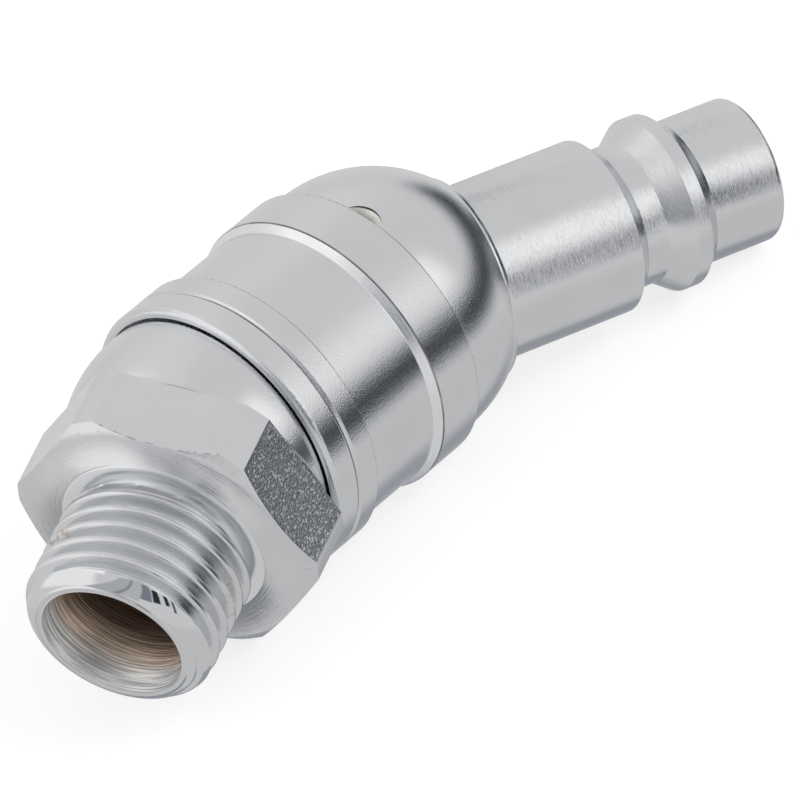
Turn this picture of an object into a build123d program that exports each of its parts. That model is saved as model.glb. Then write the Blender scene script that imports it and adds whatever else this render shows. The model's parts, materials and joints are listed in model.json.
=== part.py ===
from build123d import *
from math import acos, cos, pi, radians, sin, sqrt
import os

# A swivel coupling plug, in millimetres and degrees, lying on the floor as it comes to rest.
# Three axes meet in two points. The thread axis meets the sleeve axis in the bend point of the base,
# and the sleeve axis meets the plug axis in the bend point of the head.
# Stations along an axis are counted from its bend point: along the thread axis towards the mouth,
# along the sleeve axis from the base towards the head, along the plug axis towards the plug's tip.

# The bends
base_bend = 19.6
head_bend = 19.2
turn_at_rest = 15.6  # how far the head is turned from the sharpest bend
bend_spacing = 16.95

# Air passage through the middle
passage_radius = 3.6

# Male thread, G 1/4, drawn at its major diameter, and the mouth at its end
thread_radius = 6.5785
thread_length = 6.5
undercut_depth = 0.83
undercut_length = 0.78
lip_step = 1.33
lip_length = 1.54
lip_rounding = 2.13
mouth_edge = 0.43
inlet_depth = 12.1
inlet_cone = 1.2

# Hexagon, milled on a round bar
hex_sides = 6
hex_across_flats = 19.0
hex_corner_cut = 0.47  # how much the bar's round takes off the sharp corners
hex_length = 5.0
hex_chamfer = 1.0
hex_chamfer_run = 0.6
hex_turn = 21.1  # how far a flat is turned from the plane of the thread and sleeve axes
hex_edge_rounding = 0.12
seal_ring_step = 0.52
seal_ring_height = 0.22
seal_ring_chamfer = 0.1

# Spigot, the bearing tube, from its tip to its seat in the base
seal_groove_wall = 1.1
seal_groove_depth = 0.8
seal_groove_width = 1.2
seal_groove_land = 0.6
spigot_tip_land = 0.4
spigot_step = 1.1
spigot_seat_step = 1.2
spigot_seat_depth = 5.0
race_land = 0.1
dust_groove_depth = 1.1
dust_groove_width = 2.2
guide_groove_depth = 0.8
guide_groove_width = 3.0
groove_land = 0.9
first_land = 0.5

# Bearing balls
ball_radius = 1.0
ball_spare_gap = 0.1
race_clearance = 0.03

# Cover sleeve over the dome's skirt
skirt_wall = 2.2
sleeve_wall = 0.68
sleeve_band_height = 0.47
sleeve_lip_wall = 0.64
sleeve_start = 0.98
sleeve_lip_rounding = 0.42
sleeve_edge_rounding = 0.1
near_band_length = 4.02
far_band_length = 3.65
far_band_cone = 0.52
sleeve_groove_setback = 2.12
sleeve_groove_width = 0.4
sleeve_groove_depth = 0.18
shoulder_face = 3.4  # where the base's ball shoulder is cut flat under the washer

# Dome and its loading hole
dome_step = 0.54
dome_reach = 1.58  # how far the dome's centre lies past the sleeve's end
dome_passage_step = 0.3  # how much wider the dome's own passage is than the plug's bore
load_hole_gap = 0.08
load_hole_chamfer = 0.64
load_hole_cone_angle = 90
load_hole_turn = 19.9  # from the upright of the base's own plane, towards the outside of the bend
load_hole_cover = 0.47  # how far the sleeve's end reaches past the hole's middle

# Plug, European DN 7.2 outline
stem_wall = 1.1
stem_setback = 0.6
flange_margin = 0.13
flange_step = 1.185
flange_thickness = 0.46
shank_radius = 6.12
shank_length = 10.59
shank_cone = 1.05
locking_depth = 1.17
locking_length = 1.7
ring_cone = 1.6
ring_length = 1.05
nose_cone = 1.05
nose_step = 1.02
nose_length = 5.5
nose_rounding = 0.45
plug_edge_rounding = 0.12

# Seals and washer
dust_oring_width = 1.72
seal_oring_width = 1.05
washer_margin = 0.4
washer_thickness = 0.5

# Clearances
press_gap = 0.01
seal_gap = 0.02
guide_gap = 0.03
side_gap = 0.05
tip_gap = 0.1
washer_gap = 0.1
mouth_gap = 0.11
hex_gap = 0.168
face_gap = 0.2
bearing_gap = 0.4

# How the resting place is worked out
settle_rounds = 30
no_length = 1e-9

# Radii that follow from the ones above, from the air passage outwards
seal_groove_radius = passage_radius + seal_groove_wall
spigot_tip_radius = seal_groove_radius + seal_groove_depth
spigot_radius = spigot_tip_radius + spigot_step
spigot_seat_radius = spigot_radius - spigot_seat_step
dust_groove_radius = spigot_radius - dust_groove_depth
guide_groove_radius = spigot_radius - guide_groove_depth
cavity_radius = spigot_tip_radius + tip_gap
race_radius = spigot_radius + bearing_gap / 2
race_groove_radius = ball_radius + race_clearance
bearing_bore_radius = spigot_radius + bearing_gap
skirt_radius = bearing_bore_radius + skirt_wall
sleeve_middle_radius = skirt_radius + sleeve_wall
sleeve_band_radius = sleeve_middle_radius + sleeve_band_height
sleeve_mouth_radius = sleeve_band_radius - sleeve_lip_wall
shoulder_radius = sleeve_mouth_radius - mouth_gap
dome_radius = sleeve_band_radius - dome_step
dome_step_radius = sqrt(dome_radius**2 - dome_reach**2)
far = 4 * dome_radius  # longer than any cut that it is used for

# Stations and radii along the thread axis. The hexagon clears the sleeve's rim at every turn.
rim_reach = (
    (sleeve_band_radius - sleeve_lip_rounding) * sin(radians(base_bend))
    - (sleeve_start + sleeve_lip_rounding) * cos(radians(base_bend))
    + sleeve_lip_rounding
)
hex_rear = rim_reach + hex_gap
hex_front = hex_rear + hex_length
hex_bar_radius = hex_across_flats / 2 / cos(pi / hex_sides) - hex_corner_cut
hex_bar_end = hex_front - hex_chamfer_run
flat_half_angle = acos(hex_across_flats / 2 / hex_bar_radius)
shoulder_end_radius = sqrt(shoulder_radius**2 - hex_rear**2)
seal_ring_radius = thread_radius + seal_ring_step
seal_ring_top = hex_front + seal_ring_height
undercut_radius = thread_radius - undercut_depth
thread_start = seal_ring_top + undercut_length
thread_end = thread_start + thread_length
mouth_radius = thread_radius - lip_step
mouth_end = thread_end + lip_length
inlet_radius = mouth_radius - mouth_edge
inlet_floor = mouth_end - inlet_depth

# Stations along the sleeve axis
sleeve_end = bend_spacing - dome_reach
near_band_end = sleeve_start + near_band_length
far_band_start = sleeve_end - far_band_length
sleeve_groove_middle = sleeve_start + sleeve_groove_setback
skirt_start = shoulder_face + washer_thickness + washer_gap
spigot_seat_floor = shoulder_face - spigot_seat_depth
dust_groove_start = skirt_start + first_land
dust_groove_end = dust_groove_start + dust_groove_width
guide_groove_start = dust_groove_end + groove_land
guide_groove_end = guide_groove_start + guide_groove_width
race_station = sleeve_end - load_hole_cover
ball_count = int(2 * pi * race_radius / (2 * ball_radius + ball_spare_gap))
load_hole_radius = ball_radius + load_hole_gap
spigot_shoulder = race_station + ball_radius + race_land
seal_groove_start = spigot_shoulder + seal_groove_land
seal_groove_end = seal_groove_start + seal_groove_width
spigot_tip = seal_groove_end + spigot_tip_land
cavity_start = spigot_shoulder + face_gap
cavity_end = spigot_tip + face_gap

# Stations and radii along the plug axis. The stem stops short of the cavity's corner.
cavity_corner = (
    (cavity_end - bend_spacing) * cos(radians(head_bend))
    + cavity_radius * sin(radians(head_bend))
)
stem_start = cavity_corner + stem_setback
stem_radius = passage_radius + stem_wall
flange_radius = shank_radius + flange_step
dome_flat = sqrt(dome_radius**2 - (flange_radius + flange_margin) ** 2)
flange_end = dome_flat + flange_thickness
shank_end = flange_end + shank_length
locking_radius = shank_radius - locking_depth
locking_start = shank_end + shank_cone
locking_end = locking_start + locking_length
ring_start = locking_end + ring_cone
ring_end = ring_start + ring_length
nose_radius = shank_radius - nose_step
nose_start = ring_end + nose_cone
nose_end = nose_start + nose_length

# The bench frame has the sleeve axis along +X and the thread axis in the XY plane, bent towards -Y.
bench_x = Vector(1, 0, 0)
bench_out = Vector(0, 1, 0)
bench_up = Vector(0, 0, 1)
base_point = Vector(0, 0, 0)
head_point = bench_x * bend_spacing
thread_way = bench_x * -cos(radians(base_bend)) - bench_out * sin(radians(base_bend))
head_side = bench_up * sin(radians(turn_at_rest)) - bench_out * cos(radians(turn_at_rest))
plug_way = bench_x * cos(radians(head_bend)) + head_side * sin(radians(head_bend))
hex_side = bench_up.cross(thread_way)
flat_way = bench_up * cos(radians(hex_turn)) - hex_side * sin(radians(hex_turn))
hole_way = bench_up * cos(radians(load_hole_turn)) + bench_out * sin(radians(load_hole_turn))


def ring(point, way, station, radius):
    """A circle about an axis, as its centre, its axis and its radius."""
    return point + way * station, way, radius


def reach(circle, way):
    """The point of a circle that lies furthest along a direction."""
    centre, axis, radius = circle
    across = way - axis * way.dot(axis)
    if radius == 0 or across.length < no_length:
        return centre
    return centre + across.normalized() * radius


def hex_corners():
    """The front corners of the hexagon, where its chamfer starts, two to a flat."""
    across = flat_way.cross(thread_way)
    corners = []
    for side in range(hex_sides):
        for edge in (-flat_half_angle, flat_half_angle):
            angle = 2 * pi * side / hex_sides + edge
            arm = flat_way * cos(angle) + across * sin(angle)
            corners.append(ring(base_point + arm * hex_bar_radius, thread_way, hex_bar_end, 0))
    return corners


# What touches the floor: a corner of the hexagon, the sleeve's far band and the plug's nose.
far_band_ring = ring(base_point, bench_x, sleeve_end - sleeve_edge_rounding, sleeve_band_radius)
nose_ring = ring(head_point, plug_way, nose_end - nose_rounding, nose_radius)
outline = hex_corners() + [
    far_band_ring,
    nose_ring,
    ring(head_point, plug_way, nose_end, nose_radius - nose_rounding),
    ring(head_point, plug_way, ring_end, shank_radius),
    ring(base_point, thread_way, mouth_end, mouth_radius),
    ring(base_point, thread_way, thread_end, thread_radius),
    ring(base_point, bench_x, sleeve_start + sleeve_lip_rounding, sleeve_band_radius),
]

# The floor is found by letting the three touching points settle.
floor_up = bench_up
for _ in range(settle_rounds):
    corner = min((reach(c, floor_up * -1) for c in hex_corners()), key=lambda p: p.dot(floor_up))
    band = reach(far_band_ring, floor_up * -1)
    nose = reach(nose_ring, floor_up * -1)
    normal = (band - corner).cross(nose - corner).normalized()
    floor_up = normal if normal.dot(bench_up) > 0 else normal * -1

long_way = (bench_x - floor_up * bench_x.dot(floor_up)).normalized()
wide_way = floor_up.cross(long_way)


def middle(way):
    """Half way between the object's two ends along a direction."""
    high = max(reach(c, way).dot(way) for c in outline)
    low = min(reach(c, way * -1).dot(way) for c in outline)
    return (high + low) / 2


centre_point = long_way * middle(long_way) + wide_way * middle(wide_way)
floor_point = centre_point + floor_up * corner.dot(floor_up)


def placed_way(way):
    """A direction of the bench frame, as it lies on the floor."""
    return Vector(way.dot(long_way), way.dot(wide_way), way.dot(floor_up))


def placed_point(point):
    """A point of the bench frame, as it lies on the floor."""
    return placed_way(point - floor_point)


class Station:
    """An axis with planes along it: side for outlines to turn, cross(s) for round cuts."""

    def __init__(self, point, way, side):
        self.point = placed_point(point)
        self.way = placed_way(way)
        self.side = placed_way(side)
        self.axis = Axis(self.point, self.way)
        self.outline = Plane(self.point, x_dir=self.side, z_dir=self.side.cross(self.way))

    def cross(self, station):
        """The plane across the axis at a station, facing along it."""
        return Plane(self.point + self.way * station, x_dir=self.side, z_dir=self.way)


thread_line = Station(base_point, thread_way, flat_way)
sleeve_line = Station(base_point, bench_x, bench_up)
plug_line = Station(head_point, plug_way, plug_way.cross(bench_out).normalized())

# Base: mouth, thread, hexagon and ball shoulder in one piece
with BuildPart() as base_nipple:
    with BuildSketch(thread_line.outline):
        with BuildLine():
            Polyline((mouth_radius, mouth_end), (0, mouth_end), (0, -shoulder_radius))
            ThreePointArc((0, -shoulder_radius), (shoulder_radius, 0), (shoulder_end_radius, hex_rear))
            Polyline(
                (shoulder_end_radius, hex_rear),
                (hex_bar_radius, hex_rear),
                (hex_bar_radius, hex_bar_end),
                (hex_bar_radius - hex_chamfer, hex_front),
                (seal_ring_radius, hex_front),
                (seal_ring_radius, seal_ring_top - seal_ring_chamfer),
                (seal_ring_radius - seal_ring_chamfer, seal_ring_top),
                (undercut_radius, seal_ring_top),
                (undercut_radius, thread_start - undercut_depth / 2),
                (thread_radius, thread_start),
                (thread_radius, thread_end),
            )
            RadiusArc((thread_radius, thread_end), (mouth_radius, mouth_end), -lip_rounding)
        make_face()
    revolve(axis=thread_line.axis)
    with BuildSketch(thread_line.cross(hex_rear)):
        Circle(hex_bar_radius + hex_chamfer)
        RegularPolygon(
            hex_across_flats / 2,
            hex_sides,
            major_radius=False,
            rotation=180 / hex_sides,
            mode=Mode.SUBTRACT,
        )
    extrude(amount=hex_length, mode=Mode.SUBTRACT)
    fillet(edges().filter_by(thread_line.axis), hex_edge_rounding)
    with BuildSketch(sleeve_line.cross(shoulder_face)):
        Circle(far)
    extrude(amount=far, mode=Mode.SUBTRACT)
    with BuildSketch(sleeve_line.cross(shoulder_face)):
        Circle(spigot_seat_radius)
    extrude(amount=-spigot_seat_depth, mode=Mode.SUBTRACT)
    with BuildSketch(thread_line.outline):
        Polygon(
            (0, mouth_end),
            (inlet_radius, mouth_end),
            (inlet_radius, inlet_floor),
            (passage_radius, inlet_floor - inlet_cone),
            (passage_radius, 0),
            (0, 0),
            align=None,
        )
    revolve(axis=thread_line.axis, mode=Mode.SUBTRACT)

# Spigot: the bearing tube, with grooves for the seals, the guide ring and the balls
with BuildPart() as spigot:
    with BuildSketch(sleeve_line.outline):
        with BuildLine():
            Polyline(
                (passage_radius, spigot_seat_floor),
                (spigot_seat_radius - press_gap, spigot_seat_floor),
                (spigot_seat_radius - press_gap, shoulder_face),
                (spigot_radius, shoulder_face),
                (spigot_radius, dust_groove_start),
                (dust_groove_radius, dust_groove_start),
                (dust_groove_radius, dust_groove_end),
                (spigot_radius, dust_groove_end),
                (spigot_radius, guide_groove_start),
                (guide_groove_radius, guide_groove_start),
                (guide_groove_radius, guide_groove_end),
                (spigot_radius, guide_groove_end),
                (spigot_radius, spigot_shoulder),
                (spigot_tip_radius, spigot_shoulder),
                (spigot_tip_radius, seal_groove_start),
                (seal_groove_radius, seal_groove_start),
                (seal_groove_radius, seal_groove_end),
                (spigot_tip_radius, seal_groove_end),
                (spigot_tip_radius, spigot_tip),
                (passage_radius, spigot_tip),
                close=True,
            )
        make_face()
        with Locations((race_radius, race_station)):
            Circle(race_groove_radius, mode=Mode.SUBTRACT)
    revolve(axis=sleeve_line.axis)

# Plain washer between the ball shoulder and the skirt
with BuildPart() as thrust_washer:
    with BuildSketch(sleeve_line.cross(shoulder_face)):
        Circle(skirt_radius - washer_margin)
        Circle(spigot_radius + side_gap, mode=Mode.SUBTRACT)
    extrude(amount=washer_thickness)

# Guide ring in its groove
with BuildPart() as guide_ring:
    with BuildSketch(sleeve_line.cross(guide_groove_start + side_gap)):
        Circle(bearing_bore_radius - guide_gap)
        Circle(guide_groove_radius + press_gap, mode=Mode.SUBTRACT)
    extrude(amount=guide_groove_width - 2 * side_gap)


def squashed_oring(inner, outer, station, width):
    """A rubber ring pressed flat between a groove's floor and a bore."""
    with BuildPart() as oring:
        with BuildSketch(sleeve_line.outline):
            with Locations(((inner + outer) / 2, station)):
                Ellipse((outer - inner) / 2, width / 2)
        revolve(axis=sleeve_line.axis)
    return oring


dust_oring = squashed_oring(
    dust_groove_radius + press_gap,
    bearing_bore_radius - seal_gap,
    dust_groove_start + dust_groove_width / 2,
    dust_oring_width,
)
pressure_oring = squashed_oring(
    seal_groove_radius + press_gap,
    cavity_radius - seal_gap,
    seal_groove_start + seal_groove_width / 2,
    seal_oring_width,
)

# Bearing balls, spread evenly round the race
balls = []
for number in range(ball_count):
    turn = 2 * pi * number / ball_count
    arm = placed_way(hole_way) * cos(turn) + sleeve_line.way.cross(placed_way(hole_way)) * sin(turn)
    centre = sleeve_line.point + sleeve_line.way * race_station + arm * race_radius
    with BuildPart() as ball:
        with Locations(centre):
            Sphere(ball_radius)
    balls.append(ball)

# Dome with its skirt: turned outside and inside, then cut flat and bored for the plug's stem
with BuildPart() as swivel_dome:
    with BuildSketch(sleeve_line.outline):
        with BuildLine():
            Polyline(
                (0, bend_spacing + dome_radius),
                (0, skirt_start),
                (skirt_radius - press_gap, skirt_start),
                (skirt_radius - press_gap, sleeve_end),
                (dome_step_radius, sleeve_end),
            )
            ThreePointArc(
                (dome_step_radius, sleeve_end),
                (dome_radius * cos(pi / 4), bend_spacing + dome_radius * sin(pi / 4)),
                (0, bend_spacing + dome_radius),
            )
        make_face()
    revolve(axis=sleeve_line.axis)
    with BuildSketch(plug_line.cross(dome_flat)):
        Circle(far)
    extrude(amount=far, mode=Mode.SUBTRACT)
    with BuildSketch(sleeve_line.outline):
        Polygon(
            (0, skirt_start),
            (bearing_bore_radius, skirt_start),
            (bearing_bore_radius, cavity_start),
            (cavity_radius, cavity_start),
            (cavity_radius, cavity_end),
            (0, cavity_end),
            align=None,
        )
    revolve(axis=sleeve_line.axis, mode=Mode.SUBTRACT)
    with BuildSketch(sleeve_line.outline):
        with Locations((race_radius, race_station)):
            Circle(race_groove_radius)
    revolve(axis=sleeve_line.axis, mode=Mode.SUBTRACT)
    with BuildSketch(plug_line.cross(dome_flat)):
        Circle(stem_radius)
    extrude(amount=stem_start - dome_flat, mode=Mode.SUBTRACT)
    with BuildSketch(plug_line.cross(stem_start)):
        Circle(passage_radius + dome_passage_step)
    extrude(amount=-stem_start, mode=Mode.SUBTRACT)
    hole_radial = placed_way(hole_way)
    hole_mouth = sqrt(dome_radius**2 - (bend_spacing - race_station) ** 2)
    hole_point = sleeve_line.point + sleeve_line.way * race_station + hole_radial * hole_mouth
    with Locations(Plane(hole_point, x_dir=sleeve_line.way, z_dir=hole_radial)):
        CounterSinkHole(
            load_hole_radius,
            load_hole_radius + load_hole_chamfer,
            depth=hole_mouth - race_radius,
            counter_sink_angle=load_hole_cone_angle,
        )

# Cover sleeve, pressed over the skirt up to the dome
groove_near = sleeve_groove_middle - sleeve_groove_width / 2
groove_far = sleeve_groove_middle + sleeve_groove_width / 2
lip_corner = (sleeve_band_radius, sleeve_start)
with BuildPart() as cover_sleeve:
    with BuildSketch(sleeve_line.outline) as sleeve_outline:
        Polygon(
            lip_corner,
            (sleeve_mouth_radius, sleeve_start),
            (sleeve_mouth_radius, skirt_start),
            (skirt_radius, skirt_start),
            (skirt_radius, sleeve_end),
            (sleeve_band_radius, sleeve_end),
            (sleeve_band_radius, far_band_start),
            (sleeve_middle_radius, far_band_start - far_band_cone),
            (sleeve_middle_radius, near_band_end),
            (sleeve_band_radius, near_band_end),
            (sleeve_band_radius, groove_far),
            (sleeve_band_radius - sleeve_groove_depth, sleeve_groove_middle),
            (sleeve_band_radius, groove_near),
            align=None,
        )
        outer = sleeve_outline.vertices().filter_by_position(Axis.X, sleeve_middle_radius - side_gap, far)
        lip = outer.sort_by_distance(lip_corner)[0]
        fillet([corner for corner in outer if corner != lip], sleeve_edge_rounding)
        fillet(sleeve_outline.vertices().sort_by_distance(lip_corner)[0], sleeve_lip_rounding)
    revolve(axis=sleeve_line.axis)

# Plug nipple: stem, flange, shank, locking groove, ring and nose
nose_corner = (nose_radius, nose_end)
with BuildPart() as plug_nipple:
    with BuildSketch(plug_line.outline) as plug_outline:
        Polygon(
            nose_corner,
            (passage_radius, nose_end),
            (passage_radius, stem_start),
            (stem_radius - press_gap, stem_start),
            (stem_radius - press_gap, dome_flat),
            (flange_radius, dome_flat),
            (flange_radius, flange_end),
            (shank_radius, flange_end),
            (shank_radius, shank_end),
            (locking_radius, locking_start),
            (locking_radius, locking_end),
            (shank_radius, ring_start),
            (shank_radius, ring_end),
            (nose_radius, nose_start),
            align=None,
        )
        outer = plug_outline.vertices().filter_by_position(Axis.X, stem_radius + side_gap, far)
        nose_edge = outer.sort_by_distance(nose_corner)[0]
        turned = outer.filter_by_position(Axis.Y, flange_end - side_gap, nose_end - side_gap)
        fillet([corner for corner in turned if corner != nose_edge], plug_edge_rounding)
        fillet(plug_outline.vertices().sort_by_distance(nose_corner)[0], nose_rounding)
    revolve(axis=plug_line.axis)

pieces = {
    "base_nipple": base_nipple,
    "spigot": spigot,
    "thrust_washer": thrust_washer,
    "guide_ring": guide_ring,
    "dust_oring": dust_oring,
    "pressure_oring": pressure_oring,
    "swivel_dome": swivel_dome,
    "cover_sleeve": cover_sleeve,
    "plug_nipple": plug_nipple,
}
for number, ball in enumerate(balls, start=1):
    pieces[f"ball_{number:02d}"] = ball

os.makedirs("parts", exist_ok=True)
for name, piece in pieces.items():
    piece.part.label = name
    export_step(piece.part, f"parts/{name}.step")
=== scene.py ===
import json
from math import cos, pi, radians, sin, sqrt

import bmesh
import bpy
from mathutils import Matrix, Vector


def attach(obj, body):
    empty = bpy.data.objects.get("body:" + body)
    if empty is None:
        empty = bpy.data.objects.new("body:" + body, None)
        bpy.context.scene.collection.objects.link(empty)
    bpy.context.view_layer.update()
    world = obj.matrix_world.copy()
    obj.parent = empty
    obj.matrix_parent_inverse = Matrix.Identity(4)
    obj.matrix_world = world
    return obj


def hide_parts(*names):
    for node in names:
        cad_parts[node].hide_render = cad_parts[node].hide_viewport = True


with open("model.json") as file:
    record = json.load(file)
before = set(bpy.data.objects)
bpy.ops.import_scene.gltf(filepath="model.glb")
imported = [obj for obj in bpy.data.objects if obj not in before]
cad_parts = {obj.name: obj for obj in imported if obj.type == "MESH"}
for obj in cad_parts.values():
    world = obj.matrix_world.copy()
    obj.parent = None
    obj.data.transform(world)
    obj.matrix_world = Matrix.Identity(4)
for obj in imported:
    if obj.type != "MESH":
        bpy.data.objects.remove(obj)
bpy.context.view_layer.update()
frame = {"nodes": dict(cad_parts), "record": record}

# The swivel coupling plug lies on the floor. Its sizes are in millimetres on the real part.
# A station is a place along an axis: the thread's or the sleeve's, from the corner where those two
# meet (base_point), or the plug's, from its corner with the sleeve's (head_point).
MM = 0.001

# Camera, at the photo's viewing angle
CAMERA_AZIMUTH = radians(-39.512)
CAMERA_ELEVATION = radians(35.112)
CAMERA_ROLL = radians(-17.927)
CAMERA_DISTANCE = 0.590
CAMERA_TARGET = Vector((-0.002749, -0.004718, 0.008781))
CAMERA_LENS = 405.0
CAMERA_SENSOR = 36.0
CAMERA_CLIP_START = 0.01

# Hexagon. Its chamfer ends where station + slope x radius is CHAMFER_EDGE. The seal ring is the
# raised ring on its front face: the radii of its soft edge, and the stations where it begins
HEX_REAR_STATION = 2.6
HEX_FRONT_STATION = 7.6
HEX_TURN = radians(21.1)
HEX_FLAT_RADIUS = 9.45
HEX_BAR_RADIUS = 10.5
CHAMFER_SLOPE = 0.6
CHAMFER_EDGE = 13.3
SEAL_RING_EDGE = (7.0, 7.1)
SEAL_RING_REAR = (7.0, 7.2)

# Sleeve and dome
BEND_SPACING = 16.95
# Stations of dark lines painted as shade and reflection at the sleeve's groove, step, cone edge and
# seam
SLEEVE_SHADE_LINES = (3.07, 4.97, 11.72, 15.33)
SLEEVE_CONE = (11.15, 11.75)
HOLE_TURN = radians(19.9)
HOLE_COUNTERSINK = 1.74
HOLE_STATION = 14.9

# The plug's flange, whose front edge is broken
FLANGE_END = 6.86
FLANGE_THICKNESS = 0.46
FLANGE_RADIUS = 7.305
FLANGE_BREAK = 0.26
FLANGE_BREAK_SLOPE = 0.58

# Thread, mouth and bore
THREAD_MIDDLE_STATION = 11.85
THREAD_PITCH = 1.337
THREAD_DEPTH = 0.856
THREAD_ROUNDING = 0.03
CREST_SHARE = 0.13
FLANK_SHARE = 0.74
CUT_STATION = 8.0
CUT_BLEND = 0.3
UNDERCUT_RADIUS = 5.7485
UNDERCUT_END = 8.185
THREAD_START = 8.6
THREAD_END = 15.1
MOUTH_END = 16.64
MOUTH_RADIUS = 5.2485
MOUTH_EDGE = 0.06
LIP_ROUNDING = 2.13
ROWS_PER_PITCH = 24
BORE_ROWS = 24
COLUMNS = 288

# Copies of CAD meshes: welding distance in metres, and the largest angle that is shaded smooth
WELD_DISTANCE = 1e-7
HEXAGON_SMOOTH = 20
PLUG_SMOOTH = 13

# Masks of the thread's and the hexagon's finishes, each a ramp from 0 to 1
IN_BORE = (4.95, 4.9)
OUTSIDE_BORE = (4.9, 5.0)
ON_LIP = (15.15, 15.3)
ON_MOUTH_FACE = (16.60, 16.63)
ON_UNDERCUT = (8.7, 8.3)
# Stations between which the bore turns brown, turns dark, and begins to lean
BORE_BROWNING = (15.7, 13.6)
BORE_DARKENING = (14.6, 10.2)
BORE_OPENING = (10.5, 14.5)
# How far the bore's shading normal leans toward the mouth
BORE_LEAN = 0.62
BORE_METALLIC = 0.55
# Turn about the axis in degrees, and the lowest and highest station
RUST_SPOTS = ((54.0, 12.1, 12.7), (-84.0, 11.3, 12.0))

# Colours of the metal, and how far they and the roughness spread from place to place
STEEL = (0.745, 0.755, 0.768)
COLOUR_SPREAD = 0.04
ROUGHNESS_SPREAD = 0.15
CONE_STEEL = (0.90, 0.91, 0.925, 1.0)
TURNED_STEEL = (0.84, 0.85, 0.865, 1.0)
HOLE_STEEL = (0.95, 0.93, 0.88, 1.0)
BORE_SILVER = (0.97, 0.97, 0.97, 1.0)
BORE_BROWN = (0.88, 0.70, 0.56, 1.0)
BORE_DARK = (0.30, 0.20, 0.14, 1.0)
RUST = (0.50, 0.36, 0.26, 1.0)
# Dark colour of grime, and of the painted shade lines at the steps
GRIME_AND_SHADE = (0.14, 0.14, 0.145, 1.0)

# Dark lines at the steps, painted shade and painted reflection with some grime: strongest cover,
# the weakest as a share of it, soft edge, roughness
LINE_STRENGTH = 0.95
LINE_WEAKEST = 0.6
LINE_SOFT = 0.05
LINE_ROUGHNESS = 0.35

# Tones of the studio, where 1 is white
LEVEL = 0.73
TENT = 0.97
FLOOR_TONE = 0.86
FLOOR_HORIZON = (-34.0, -24.0)
SHADE_TONE = 0.50
SOFTBOX = 1.52
BACK_LIGHT = 1.36
GAP_TONE = 0.095
WHITE = (1.0, 1.0, 1.0, 1.0)
# The dark tones are a little blue, and turn neutral between these two
COOL = (0.92, 0.97, 1.12, 1.0)
COOL_TONES = (0.2, 0.9)
# The tent's patches: azimuth, elevation, soft edge, tone
TENT_PATCHES = (
    # Brighter on the far right, and the floor there is in the shade
    ((28.0, 110.0), (24.0, 120.0), 30.0, 1.06),
    ((0.0, 95.0), (-120.0, -44.0), 20.0, SHADE_TONE),
    # Softbox at the upper left
    ((-92.0, -50.0), (14.0, 46.0), 16.0, SOFTBOX),
)
# The same behind the camera, where the azimuth runs on below -180
BACK_PATCHES = (
    ((-236.0, -186.0), (-9.0, 58.0), 9.0, BACK_LIGHT),
    ((-272.0, -232.0), (38.0, 62.0), 12.0, BACK_LIGHT),
    ((-216.0, -176.0), (42.0, 58.0), 6.0, 1.5),
)
# Dark gap between the floor and the tent, whose middle rises from left to right
GAP_ACROSS = (-74.0, 24.0)
GAP_ACROSS_SOFT = 14.0
GAP_HEIGHT = (-11.5, 11.0)
GAP_HEIGHT_SOFT = 10.0
GAP_MIDDLE = ((-50.0, 25.0), (-9.0, 3.0))
# Blocks of the room behind the camera: leaning azimuth, elevation, tone
ROOM_BLOCKS = (
    ((-189.0, -172.0), (-9.0, 44.0), 0.66),
    ((-172.0, -167.5), (-9.0, 44.0), 0.42),
    ((-167.5, -154.0), (-9.0, 44.0), 0.74),
    ((-154.0, -141.0), (0.0, 38.0), 0.34),
    ((-139.5, -129.0), (2.0, 28.0), 0.04),
    ((-121.0, -113.5), (2.0, 19.0), 0.04),
    ((-108.5, -104.0), (-8.0, 12.0), 0.10),
)
ROOM_SOFT = 2.0
ROOM_LEAN = 0.79
BACK_STARTS_AT = 60.0

# Floor and key light, in metres and watts
FLOOR_HALF_WIDTH = 2.0
FLOOR_GREY = 0.45
FLOOR_GLOW = 0.68
KEY_WAY = (-62.0, 38.0)
KEY_DISTANCE = 0.8
KEY_SIZE = 0.45
KEY_POWER = 2.2


def turn_to_unit(azimuth, elevation):
    """A direction given by its angle about Z from +X and its height above the floor, in degrees."""
    a, e = radians(azimuth), radians(elevation)
    return Vector((cos(a) * cos(e), sin(a) * cos(e), sin(e)))


mounts = {mount["name"]: mount for mount in frame["record"]["mounts"]}
joints = {joint["name"]: joint for joint in frame["record"]["behaviour"]["joints"]}

thread_way = Vector(mounts["thread"]["axis"]).normalized()
sleeve_way = Vector(joints["swivel"]["axis"]).normalized()
plug_way = Vector(mounts["plug_nose"]["axis"]).normalized()
thread_radius = mounts["thread"]["dims"]["r_mm"]
inlet_radius = mounts["inlet"]["dims"]["r_mm"]
base_point = Vector(mounts["thread"]["pos_m"]) - thread_way * THREAD_MIDDLE_STATION * MM
head_point = base_point + sleeve_way * BEND_SPACING * MM
bench_up = thread_way.cross(sleeve_way).normalized()
bench_out = bench_up.cross(sleeve_way)
hex_side = bench_up.cross(thread_way)
flat_way = bench_up * cos(HEX_TURN) - hex_side * sin(HEX_TURN)
hole_way = bench_up * cos(HOLE_TURN) + bench_out * sin(HOLE_TURN)
plug_side = plug_way.cross(bench_out).normalized()
hole_middle = sleeve_way * (HOLE_STATION - BEND_SPACING)


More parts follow.
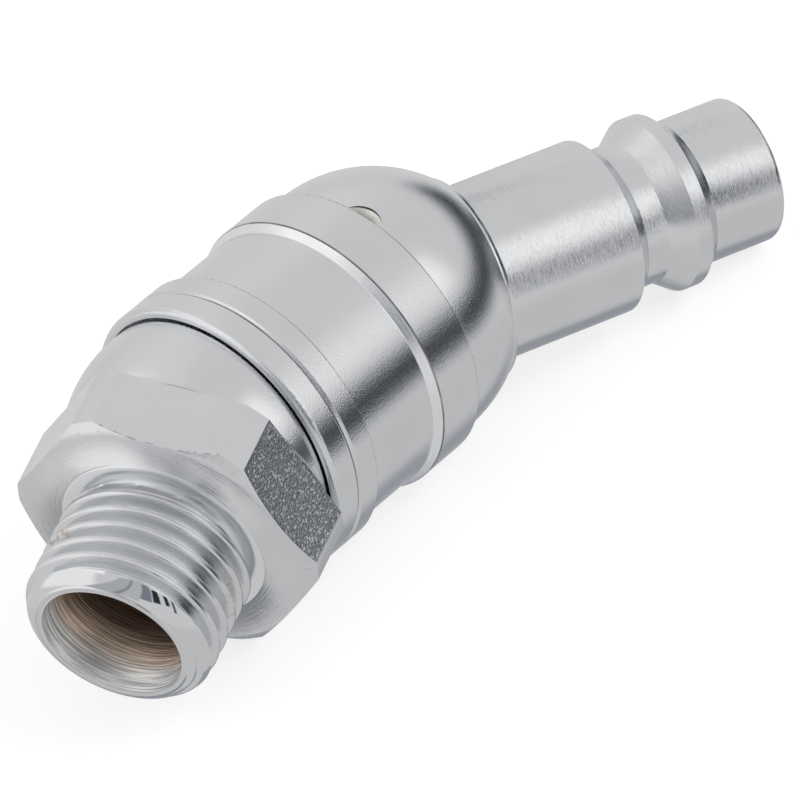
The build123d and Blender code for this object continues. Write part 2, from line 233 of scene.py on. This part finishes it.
class Shader:
    """Short calls that add and join the nodes of one node tree."""

    def __init__(self, tree):
        self.tree = tree
        tree.nodes.clear()

    def node(self, kind, **settings):
        node = self.tree.nodes.new(kind)
        for name, value in settings.items():
            setattr(node, name, value)
        return node

    def feed(self, socket, value):
        """Joins a socket to another one, or sets its own value."""
        if isinstance(value, bpy.types.NodeSocket):
            self.tree.links.new(value, socket)
        elif value is not None:
            socket.default_value = value

    def result(self, kind, *values, output=0, **settings):
        """The output of a node whose first inputs take the values in order."""
        node = self.node(kind, **settings)
        for socket, value in zip(node.inputs, values):
            self.feed(socket, value)
        return node.outputs[output]

    def math(self, operation, *values):
        return self.result("ShaderNodeMath", *values, operation=operation)

    def vector(self, operation, *values, output=0):
        return self.result("ShaderNodeVectorMath", *values, output=output, operation=operation)

    def dot(self, a, b):
        return self.vector("DOT_PRODUCT", a, b, output="Value")

    def combined(self, x, y, z):
        return self.result("ShaderNodeCombineXYZ", x, y, z)

    def scaled(self, value, factor):
        node = self.node("ShaderNodeVectorMath", operation="SCALE")
        self.feed(node.inputs[0], value)
        self.feed(node.inputs["Scale"], factor)
        return node.outputs[0]

    def noise(self, vector, detail):
        node = self.node("ShaderNodeTexNoise")
        self.feed(node.inputs["Vector"], vector)
        node.inputs["Scale"].default_value = 1.0
        node.inputs["Detail"].default_value = detail
        return node.outputs["Fac"]

    def ramp(self, value, low, high, start=0.0, end=1.0):
        """start at low, end at high, and a smooth step between. low may be the higher one."""
        node = self.node("ShaderNodeMapRange", interpolation_type="SMOOTHSTEP")
        for name, number in (
            ("From Min", low), ("From Max", high), ("To Min", start), ("To Max", end)
        ):
            self.feed(node.inputs[name], number)
        self.feed(node.inputs["Value"], value)
        return node.outputs["Result"]

    def both(self, a, b):
        """Where two masks overlap."""
        return self.math("MULTIPLY", a, b)

    def window(self, value, low, high, soft=0.02):
        """1 between low and high, 0 outside, with soft edges."""
        inside = self.ramp(value, low - soft / 2, low + soft / 2)
        beyond = self.ramp(value, high - soft / 2, high + soft / 2, 1.0, 0.0)
        return self.both(inside, beyond)

    def mix(self, factor, a, b):
        """A number between two numbers."""
        node = self.node("ShaderNodeMix", data_type="FLOAT")
        for place, value in ((0, factor), (2, a), (3, b)):
            self.feed(node.inputs[place], value)
        return node.outputs[0]

    def blend(self, factor, a, b, how="MIX"):
        """A colour between two colours, or another way to join them."""
        node = self.node("ShaderNodeMix", data_type="RGBA", blend_type=how)
        for place, value in ((0, factor), (6, a), (7, b)):
            self.feed(node.inputs[place], value)
        return node.outputs[2]


def add_object(name, data):
    added = bpy.data.objects.new(name, data)
    bpy.context.collection.objects.link(added)
    return added


def build_world():
    """A white tent with a softbox, a dark gap low down, and the room behind the camera.
    The camera itself sees plain white; the tones light the object and show in the metal."""
    world = bpy.data.worlds.new("studio")
    bpy.context.scene.world = world
    world.use_nodes = True
    shader = Shader(world.node_tree)
    way = shader.node("ShaderNodeTexCoord").outputs["Generated"]
    parts = shader.node("ShaderNodeSeparateXYZ")
    shader.feed(parts.inputs[0], way)
    x, y, z = parts.outputs
    azimuth = shader.math("DEGREES", shader.math("ARCTAN2", y, x))
    elevation = shader.math("DEGREES", shader.math("ARCSINE", z))

    def patch(tone, value, across, height, soft, new):
        """Changes the tone inside a window of an angle and of the elevation."""
        inside = shader.both(
            shader.window(value, *across, soft), shader.window(elevation, *height, soft)
        )
        return shader.mix(inside, tone, new)

    tone = shader.ramp(elevation, *FLOOR_HORIZON, FLOOR_TONE, TENT)
    for across, height, soft, new in TENT_PATCHES:
        tone = patch(tone, azimuth, across, height, soft, new)
    middle = shader.ramp(azimuth, *GAP_MIDDLE[0], *GAP_MIDDLE[1])
    height = shader.math("SUBTRACT", elevation, middle)
    gap = shader.both(
        shader.window(azimuth, *GAP_ACROSS, GAP_ACROSS_SOFT),
        shader.window(height, *GAP_HEIGHT, GAP_HEIGHT_SOFT),
    )
    tone = shader.mix(gap, tone, GAP_TONE)

    # Behind the camera, the angle runs on without a break, and the room's edges lean over
    wraps = shader.math("GREATER_THAN", azimuth, BACK_STARTS_AT)
    behind = shader.math("SUBTRACT", azimuth, shader.math("MULTIPLY", wraps, 360.0))
    leaning = shader.math("SUBTRACT", behind, shader.math("MULTIPLY", elevation, ROOM_LEAN))
    for across, height, soft, new in BACK_PATCHES:
        tone = patch(tone, behind, across, height, soft, new)
    for across, height, new in ROOM_BLOCKS:
        tone = patch(tone, leaning, across, height, ROOM_SOFT, new)

    colour = shader.blend(shader.ramp(tone, *COOL_TONES), COOL, WHITE)
    seen = shader.node("ShaderNodeBackground")
    seen.inputs["Color"].default_value = WHITE
    seen.inputs["Strength"].default_value = 1.0
    lit = shader.node("ShaderNodeBackground")
    shader.feed(lit.inputs["Color"], colour)
    shader.feed(lit.inputs["Strength"], shader.math("MULTIPLY", tone, LEVEL))
    rays = shader.node("ShaderNodeLightPath").outputs["Is Camera Ray"]
    mixed = shader.result("ShaderNodeMixShader", rays, lit.outputs[0], seen.outputs[0])
    shader.feed(shader.node("ShaderNodeOutputWorld").inputs["Surface"], mixed)


def build_floor():
    """A plain pale floor that the camera sees as white, apart from the object's soft shadow."""
    half = FLOOR_HALF_WIDTH
    corners = [(-half, -half, 0), (half, -half, 0), (half, half, 0), (-half, half, 0)]
    mesh = bpy.data.meshes.new("floor")
    mesh.from_pydata(corners, [], [(0, 1, 2, 3)])
    floor = add_object("floor", mesh)
    material = bpy.data.materials.new("floor")
    material.use_nodes = True
    mesh.materials.append(material)
    floor.visible_glossy = False

    shader = Shader(material.node_tree)
    paper = shader.node("ShaderNodeBsdfDiffuse")
    paper.inputs["Color"].default_value = (FLOOR_GREY, FLOOR_GREY, FLOOR_GREY, 1.0)
    glow = shader.node("ShaderNodeEmission")
    glow.inputs["Color"].default_value = WHITE
    rays = shader.node("ShaderNodeLightPath").outputs["Is Camera Ray"]
    shader.feed(glow.inputs["Strength"], shader.math("MULTIPLY", rays, FLOOR_GLOW))
    both = shader.result("ShaderNodeAddShader", paper.outputs[0], glow.outputs[0])
    shader.feed(shader.node("ShaderNodeOutputMaterial").inputs["Surface"], both)


def build_camera():
    a, e = CAMERA_AZIMUTH, CAMERA_ELEVATION
    back = Vector((sin(a) * cos(e), -cos(a) * cos(e), sin(e)))
    level = Vector((cos(a), sin(a), 0.0))
    rise = back.cross(level)
    right = level * cos(CAMERA_ROLL) + rise * sin(CAMERA_ROLL)
    up = rise * cos(CAMERA_ROLL) - level * sin(CAMERA_ROLL)
    data = bpy.data.cameras.new("camera")
    data.lens = CAMERA_LENS
    data.sensor_width = CAMERA_SENSOR
    data.clip_start = CAMERA_CLIP_START
    camera = add_object("camera", data)
    turn = Matrix((right, up, back)).transposed().to_4x4()
    camera.matrix_world = Matrix.Translation(CAMERA_TARGET + back * CAMERA_DISTANCE) @ turn
    bpy.context.scene.camera = camera


def build_key_light():
    """A large soft lamp on the softbox's side. The metal mirrors the softbox, not the lamp."""
    data = bpy.data.lights.new("key", "AREA")
    data.shape = "RECTANGLE"
    data.size = KEY_SIZE
    data.size_y = KEY_SIZE
    data.energy = KEY_POWER
    light = add_object("key", data)
    way = turn_to_unit(*KEY_WAY)
    light.location = way * KEY_DISTANCE
    light.rotation_euler = way.to_track_quat("Z", "Y").to_euler()
    light.visible_glossy = False


class Turned:
    """Shader coordinates about one axis, in millimetres."""

    # How much the radius counts beside the station, so that a flat face has rings too
    RADIUS_SHARE = 0.83

    def __init__(self, shader, point, way, side):
        here = shader.node("ShaderNodeTexCoord").outputs["Object"]
        self.shader = shader
        self.arm = shader.scaled(shader.vector("SUBTRACT", here, point), 1.0 / MM)
        self.station = shader.dot(self.arm, way)
        x = shader.dot(self.arm, side)
        y = shader.dot(self.arm, way.cross(side))
        x_squared, y_squared = shader.math("MULTIPLY", x, x), shader.math("MULTIPLY", y, y)
        squares = shader.math("ADD", x_squared, y_squared)
        self.radius = shader.math("SQRT", shader.math("MAXIMUM", squares, 1e-6))
        self.cosine = shader.math("DIVIDE", x, self.radius)
        self.sine = shader.math("DIVIDE", y, self.radius)
        share = shader.math("MULTIPLY", self.radius, self.RADIUS_SHARE)
        self.along = shader.math("ADD", self.station, share)

    def streaks(self, width, length, detail=2.0):
        """Noise in streaks that run round the axis, length on a 10 mm radius."""
        around = 10.0 / length
        vector = self.shader.combined(
            self.shader.math("MULTIPLY", self.along, 1.0 / width),
            self.shader.math("MULTIPLY", self.cosine, around),
            self.shader.math("MULTIPLY", self.sine, around),
        )
        return self.shader.noise(vector, detail)

    def grain(self, size, detail=2.0):
        """Even noise."""
        return self.shader.noise(self.shader.scaled(self.arm, 1.0 / size), detail)

    def facing(self, degrees, near, far):
        """1 within near degrees of a turn about the axis, 0 beyond far degrees."""
        a = radians(degrees)
        toward = self.shader.math(
            "ADD",
            self.shader.math("MULTIPLY", self.cosine, cos(a)),
            self.shader.math("MULTIPLY", self.sine, sin(a)),
        )
        return self.shader.ramp(toward, cos(radians(far)), cos(radians(near)))


def new_material(name):
    material = bpy.data.materials.new(name)
    material.use_nodes = True
    shader = Shader(material.node_tree)
    surface = shader.node("ShaderNodeBsdfPrincipled")
    shader.feed(shader.node("ShaderNodeOutputMaterial").inputs["Surface"], surface.outputs[0])
    return material, shader, surface


def bump(shader, normal, height, depth, strength=1.0):
    """One layer of relief over the normal that came before, depth in millimetres."""
    node = shader.node("ShaderNodeBump")
    shader.feed(node.inputs["Strength"], strength)
    node.inputs["Distance"].default_value = depth * MM
    shader.feed(node.inputs["Height"], height)
    shader.feed(node.inputs["Normal"], normal)
    return node.outputs[0]


class Plating:
    """Zinc-plated steel about an axis, built up from layers of colour, roughness and relief."""

    def __init__(self, name, point, way, side, roughness):
        self.material, self.shader, self.surface = new_material(name)
        self.turned = Turned(self.shader, point, way, side)
        cloud = self.turned.grain(3.0, detail=3.0)
        low = [c * (1 - COLOUR_SPREAD) for c in STEEL]
        high = [c * (1 + COLOUR_SPREAD) for c in STEEL]
        self.colour = self.shader.blend(cloud, (*low, 1.0), (*high, 1.0))
        self.roughness = self.shader.mix(
            cloud, roughness * (1 - ROUGHNESS_SPREAD), roughness * (1 + ROUGHNESS_SPREAD)
        )
        self.metallic = 1.0
        self.normal = None

    def paint(self, mask, colour=None, roughness=None):
        if colour is not None:
            self.colour = self.shader.blend(mask, self.colour, colour)
        if roughness is not None:
            self.roughness = self.shader.mix(mask, self.roughness, roughness)

    def relief(self, height, depth, mask=1.0):
        self.normal = bump(self.shader, self.normal, height, depth, mask)

    def lines(self, stations, half_width):
        """Dark lines round the axis: painted shade and painted reflection at an edge, with grime.
        """
        shader = self.shader
        patches = self.turned.streaks(width=0.3, length=2.0)
        weakest = LINE_STRENGTH * LINE_WEAKEST
        broken = shader.ramp(patches, 0.3, 0.6, weakest, LINE_STRENGTH)
        for station in stations:
            low, high = station - half_width, station + half_width
            line = shader.window(self.turned.station, low, high, LINE_SOFT)
            self.paint(shader.both(line, broken), colour=GRIME_AND_SHADE, roughness=LINE_ROUGHNESS)

    def done(self):
        self.shader.feed(self.surface.inputs["Base Color"], self.colour)
        self.shader.feed(self.surface.inputs["Roughness"], self.roughness)
        self.shader.feed(self.surface.inputs["Metallic"], self.metallic)
        self.shader.feed(self.surface.inputs["Normal"], self.normal)
        return self.material


def satin_grain(plating):
    """The even satin of the sleeve and the dome."""
    plating.relief(plating.turned.grain(0.095), depth=0.0125)
    plating.relief(plating.turned.streaks(width=0.08, length=3.0), depth=0.003)


def bore_layers(plating):
    """The rough-turned bore: silver at the mouth, then brown, and dark brown deep inside."""
    turned, shader = plating.turned, plating.shader
    mask = shader.ramp(turned.radius, *IN_BORE)
    rings = turned.streaks(width=0.12, length=9.0, detail=3.0)
    coarse = turned.streaks(width=0.45, length=14.0, detail=1.0)
    brown = shader.ramp(turned.station, *BORE_BROWNING)
    deep = shader.ramp(turned.station, *BORE_DARKENING)
    colour = shader.blend(brown, BORE_SILVER, BORE_BROWN)
    colour = shader.blend(deep, colour, BORE_DARK)
    stripe = shader.ramp(rings, 0.38, 0.60, 0.45, 1.0)
    striped = shader.blend(1.0, colour, shader.combined(stripe, stripe, stripe), how="MULTIPLY")
    plating.paint(mask, colour=striped, roughness=0.30)
    plating.metallic = shader.mix(mask, 1.0, BORE_METALLIC)
    # The tool marks' sides that face the mouth count most, so the shading normal leans that way
    depth = shader.math("SUBTRACT", MOUTH_END, turned.station)
    open_end = shader.ramp(turned.station, *BORE_OPENING)
    plating.relief(depth, depth=BORE_LEAN, mask=shader.both(mask, open_end))
    plating.relief(rings, depth=0.05, mask=mask)
    plating.relief(coarse, depth=0.06, mask=mask)


def sleeve_material():
    plating = Plating("sleeve_plating", base_point, sleeve_way, bench_up, roughness=0.14)
    cone = plating.shader.window(plating.turned.station, *SLEEVE_CONE)
    satin_grain(plating)
    plating.relief(plating.turned.streaks(width=0.05, length=6.0), depth=0.020, mask=cone)
    plating.paint(cone, colour=CONE_STEEL)
    # Painted shade and painted reflection: dark lines at the sleeve's groove, step, cone edge and
    # seam
    plating.lines(SLEEVE_SHADE_LINES, half_width=0.055)
    return plating.done()


def dome_material():
    plating = Plating("dome_plating", head_point, sleeve_way, bench_up, roughness=0.14)
    turned, shader = plating.turned, plating.shader
    satin_grain(plating)
    # The loading hole's countersink is brighter than the plating round it
    out = shader.dot(turned.arm, hole_way)
    rim = shader.vector("SUBTRACT", turned.arm, hole_middle)
    beside = shader.vector("CROSS_PRODUCT", rim, hole_way)
    distance = shader.vector("LENGTH", beside, output="Value")
    near = shader.ramp(distance, HOLE_COUNTERSINK, HOLE_COUNTERSINK - 0.03)
    above = shader.ramp(out, 0.0, 1.0)
    plating.paint(shader.both(near, above), colour=HOLE_STEEL, roughness=0.35)
    return plating.done()


def plug_material():
    plating = Plating("plug_plating", head_point, plug_way, plug_side, roughness=0.12)
    turned, shader = plating.turned, plating.shader
    plating.relief(turned.streaks(width=0.045, length=1.5), depth=0.018)
    plating.relief(turned.grain(0.08, detail=1.0), depth=0.005)
    # The flange keeps a thin line of shadow and grime at its foot
    plating.lines((FLANGE_END - FLANGE_THICKNESS + 0.03,), half_width=0.04)
    # and its broken front edge is smoother
    break_start = FLANGE_END - FLANGE_BREAK
    ahead = shader.ramp(turned.station, break_start, break_start + 0.03)
    behind = shader.ramp(turned.station, FLANGE_END + 0.01, FLANGE_END)
    plating.paint(shader.both(ahead, behind), roughness=0.08)
    return plating.done()


def hexagon_material():
    plating = Plating("hexagon_plating", base_point, thread_way, flat_way, roughness=0.20)
    turned, shader = plating.turned, plating.shader
    radius, station = turned.radius, turned.station
    outside = shader.ramp(radius, *OUTSIDE_BORE)
    plating.relief(turned.grain(0.14), depth=0.010, mask=outside)
    # The flats keep the pitted skin of the bar
    on_hexagon = shader.window(station, HEX_REAR_STATION, HEX_FRONT_STATION - 0.05)
    off_corners = shader.window(radius, HEX_FLAT_RADIUS, HEX_BAR_RADIUS - 0.05)
    on_flats = shader.both(on_hexagon, off_corners)
    chamfer = shader.math("ADD", station, shader.math("MULTIPLY", radius, CHAMFER_SLOPE))
    below_chamfer = shader.ramp(chamfer, CHAMFER_EDGE, CHAMFER_EDGE - 0.02)
    flats = shader.both(on_flats, below_chamfer)
    pits = shader.ramp(turned.grain(0.21, detail=3.0), 0.56, 0.84)
    plating.relief(pits, depth=0.036, mask=flats)
    plating.paint(flats, roughness=0.15)
    # Grime along the chamfer's edge, in worn patches
    edge = shader.window(chamfer, CHAMFER_EDGE - 0.12, CHAMFER_EDGE - 0.01)
    worn = shader.ramp(turned.grain(0.5), 0.40, 0.65, 0.0, 0.55)
    plating.paint(shader.both(shader.both(edge, on_flats), worn), colour=GRIME_AND_SHADE)
    # The front face is turned, with fine rings
    front = shader.window(station, HEX_FRONT_STATION - 0.04, HEX_FRONT_STATION + 0.04)
    face = shader.both(front, shader.ramp(radius, *SEAL_RING_EDGE))
    plating.paint(face, roughness=0.15)
    plating.relief(turned.streaks(width=0.05, length=5.0), depth=0.020, mask=face)
    within = shader.ramp(radius, SEAL_RING_EDGE[1], SEAL_RING_EDGE[0])
    plating.paint(shader.both(within, shader.ramp(station, *SEAL_RING_REAR)), colour=TURNED_STEEL)
    bore_layers(plating)
    return plating.done()


def thread_material():
    plating = Plating("thread_plating", base_point, thread_way, flat_way, roughness=0.20)
    turned, shader = plating.turned, plating.shader
    radius, station = turned.radius, turned.station
    outside = shader.ramp(radius, *OUTSIDE_BORE)
    lip = shader.both(shader.ramp(station, *ON_LIP), outside)
    threaded = shader.both(shader.ramp(station, ON_LIP[1], ON_LIP[0]), outside)
    undercut = shader.both(shader.ramp(station, *ON_UNDERCUT), outside)
    plating.paint(undercut, colour=TURNED_STEEL, roughness=0.17)
    plating.relief(turned.streaks(width=0.06, length=4.0), depth=0.014, mask=threaded)
    plating.relief(turned.grain(0.10), depth=0.006, mask=threaded)
    plating.relief(turned.streaks(width=0.10, length=6.0), depth=0.002, mask=lip)
    plating.paint(lip, roughness=0.06)
    plating.paint(shader.ramp(station, *ON_MOUTH_FACE), roughness=0.22)
    # Two rusty tints in the grooves
    patchy = shader.ramp(turned.grain(0.35, detail=3.0), 0.46, 0.66, 0.0, 0.7)
    for turn, low, high in RUST_SPOTS:
        around = turned.facing(turn, near=5.0, far=15.0)
        spot = shader.both(around, shader.window(station, low, high, 0.2))
        plating.paint(shader.both(spot, patchy), colour=RUST, roughness=0.45)
    bore_layers(plating)
    return plating.done()


def plain_material(name, colour, metallic, roughness):
    """For the pieces inside: colour with a fine grain."""
    material, shader, surface = new_material(name)
    grains = Turned(shader, base_point, sleeve_way, bench_up).grain(0.3)
    low = [c * 0.9 for c in colour]
    shader.feed(surface.inputs["Base Color"], shader.blend(grains, (*low, 1.0), (*colour, 1.0)))
    surface.inputs["Metallic"].default_value = metallic
    mixed = shader.mix(grains, roughness * 0.8, roughness * 1.2)
    shader.feed(surface.inputs["Roughness"], mixed)
    shader.feed(surface.inputs["Normal"], bump(shader, None, grains, depth=0.003))
    return material


def lip_arc_centre():
    """Centre of the arc from the thread's end to the mouth, as (radius, station)."""
    start = Vector((thread_radius, THREAD_END))
    end = Vector((MOUTH_RADIUS, MOUTH_END))
    half = (end - start) / 2
    away = Vector((half.y, -half.x)).normalized()
    return (start + end) / 2 - away * sqrt(LIP_ROUNDING**2 - half.length_squared)


lip_centre = lip_arc_centre()


def envelope(station):
    """The largest radius that the undercut, the thread's cylinder and the lip leave."""
    if station <= UNDERCUT_END:
        return UNDERCUT_RADIUS
    if station <= THREAD_START:
        share = (station - UNDERCUT_END) / (THREAD_START - UNDERCUT_END)
        return UNDERCUT_RADIUS + (thread_radius - UNDERCUT_RADIUS) * share
    if station <= THREAD_END:
        return thread_radius
    return lip_centre[0] + sqrt(max(0.0, LIP_ROUNDING**2 - (station - lip_centre[1]) ** 2))


def thread_radius_at(station, angle):
    """The thread's own surface: a right-handed groove with rounded crests and roots."""
    phase = (station / THREAD_PITCH - angle / (2 * pi)) % 1.0
    height = abs(2 * phase - 1)
    tooth = min(1.0, max(0.0, (height - CREST_SHARE) / FLANK_SHARE))
    tooth = tooth * tooth * (3 - 2 * tooth)
    return thread_radius - THREAD_DEPTH * (1 - tooth)


def soft_min(a, b, k):
    """The smaller of two radii, with the corner between them rounded."""
    h = min(1.0, max(0.0, 0.5 + (b - a) / (2 * k)))
    return b + (a - b) * h - k * h * (1 - h)


def threaded_radius(station, angle):
    """The outside of the base from the undercut to the mouth."""
    share = min(1.0, max(0.0, (station - CUT_STATION) / CUT_BLEND))
    threaded = soft_min(envelope(station), thread_radius_at(station, angle), THREAD_ROUNDING)
    return UNDERCUT_RADIUS * (1 - share) + threaded * share


def threaded_slope(station, angle):
    """How the outside rises along the axis and round it."""
    along, around = 0.01, 0.004
    ahead, behind = (threaded_radius(station + d, angle) for d in (along, -along))
    left, right = (threaded_radius(station, angle + d) for d in (around, -around))
    return (ahead - behind) / (2 * along), (left - right) / (2 * around)


def mouth_rows():
    """Rows from the lip over the mouth and down the bore: radius, station, outward, forward."""
    edge, shoulder = MOUTH_EDGE, MOUTH_EDGE * 0.3
    rows = [
        (MOUTH_RADIUS - shoulder, MOUTH_END - shoulder, 0.8, 0.6),
        (MOUTH_RADIUS - edge, MOUTH_END, 0.0, 1.0),
        (inlet_radius + edge, MOUTH_END, 0.0, 1.0),
        (inlet_radius + shoulder, MOUTH_END - shoulder, -0.7, 0.7),
        (inlet_radius, MOUTH_END - edge, -1.0, 0.0),
    ]
    for k in range(1, BORE_ROWS + 1):
        station = MOUTH_END - edge + (CUT_STATION - MOUTH_END + edge) * k / BORE_ROWS
        rows.append((inlet_radius, station, -1.0, 0.0))
    return rows


def threaded_end():
    """The mouth end of the base: undercut, thread, lip, mouth and bore as one turned surface."""
    across = thread_way.cross(flat_way)
    angles = [2 * pi * c / COLUMNS for c in range(COLUMNS)]
    arms = [flat_way * cos(a) + across * sin(a) for a in angles]
    points, normals = [], []
    step = THREAD_PITCH / ROWS_PER_PITCH
    station = CUT_STATION
    while station < MOUTH_END - step / 4:
        for angle, arm in zip(angles, arms):
            radius = threaded_radius(station, angle)
            rise, turn = threaded_slope(station, angle)
            points.append(base_point + (thread_way * station + arm * radius) * MM)
            normal = arm - thread_way * rise - thread_way.cross(arm) * turn / radius
            normals.append(normal.normalized())
        station += step
    for radius, station, outward, forward in mouth_rows():
        for arm in arms:
            points.append(base_point + (thread_way * station + arm * radius) * MM)
            normals.append((arm * outward + thread_way * forward).normalized())
    faces = []
    for row in range(0, len(points) - COLUMNS, COLUMNS):
        for c in range(COLUMNS):
            n = (c + 1) % COLUMNS
            faces.append((row + c, row + n, row + COLUMNS + n, row + COLUMNS + c))
    mesh = bpy.data.meshes.new("threaded_end")
    mesh.from_pydata(points, [], faces)
    mesh.shade_smooth()
    mesh.normals_split_custom_set_from_vertices(normals)
    return add_object("threaded_end", mesh)


def cut_copy(node, name, cut_point, cut_way, clear_outer):
    """A copy of a CAD node's mesh, and its bmesh, welded and cut across by a plane."""
    mesh = frame["nodes"][node].data.copy()
    mesh.name = name
    bm = bmesh.new()
    bm.from_mesh(mesh)
    bmesh.ops.remove_doubles(bm, verts=bm.verts, dist=WELD_DISTANCE)
    everything = list(bm.verts) + list(bm.edges) + list(bm.faces)
    bmesh.ops.bisect_plane(
        bm, geom=everything, plane_co=cut_point, plane_no=cut_way, clear_outer=clear_outer
    )
    return mesh, bm


def finish_copy(mesh, bm, smooth_degrees):
    """Writes the bmesh to its mesh, smooth but for its sharp edges, and adds its object."""
    bm.to_mesh(mesh)
    bm.free()
    mesh.shade_smooth()
    mesh.set_sharp_from_angle(angle=radians(smooth_degrees))
    return add_object(mesh.name, mesh)


def hexagon_end():
    """The base behind the thread: a copy of its CAD mesh, cut off in the undercut."""
    cut_point = base_point + thread_way * CUT_STATION * MM
    mesh, bm = cut_copy("base_nipple", "hexagon_end", cut_point, thread_way, True)
    return finish_copy(mesh, bm, HEXAGON_SMOOTH)


def plug_end():
    """The plug: a copy of its CAD mesh, with the flange's front edge broken."""
    cut_point = head_point + plug_way * (FLANGE_END - FLANGE_BREAK) * MM
    mesh, bm = cut_copy("plug_nipple", "plug_end", cut_point, plug_way, False)
    for vert in bm.verts:
        arm = vert.co - head_point
        station = arm.dot(plug_way)
        arm -= plug_way * station
        ahead = station / MM - FLANGE_END + FLANGE_BREAK
        limit = FLANGE_RADIUS - ahead * FLANGE_BREAK_SLOPE
        if 0.0 < ahead < FLANGE_BREAK + 0.01 and arm.length / MM > limit:
            vert.co += arm.normalized() * (limit * MM - arm.length)
    return finish_copy(mesh, bm, PLUG_SMOOTH)


def dress(obj, material):
    """Gives a piece one material in place of those that it has."""
    obj.data.materials.clear()
    obj.data.materials.append(material)


build_world()
build_floor()
build_camera()
build_key_light()
bpy.context.scene.view_settings.view_transform = "Standard"

for build, finish, body, slot, node in (
    (hexagon_end, hexagon_material, "base", "base_steel", "base_nipple"),
    (threaded_end, thread_material, "base", "base_steel", "base_nipple"),
    (plug_end, plug_material, "head", "plug_steel", "plug_nipple"),
):
    piece = build()
    dress(piece, finish())
    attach(piece, body)
    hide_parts(node)

for name, material in (
    ("cover_sleeve", sleeve_material()),
    ("swivel_dome", dome_material()),
    ("spigot", plain_material("spigot_steel", (0.42, 0.42, 0.43), 1.0, 0.2)),
    ("thrust_washer", plain_material("washer_plastic", (0.62, 0.58, 0.45), 0.0, 0.5)),
    ("guide_ring", plain_material("ring_plastic", (0.8, 0.8, 0.76), 0.0, 0.5)),
    ("dust_oring", plain_material("dust_rubber", (0.03, 0.03, 0.03), 0.0, 0.6)),
    ("pressure_oring", plain_material("seal_rubber", (0.03, 0.03, 0.03), 0.0, 0.6)),
):
    dress(frame["nodes"][name], material)
ball_steel = plain_material("ball_steel", (0.6, 0.6, 0.61), 1.0, 0.06)
for name, node in frame["nodes"].items():
    if name.startswith("ball_"):
        dress(node, ball_steel)
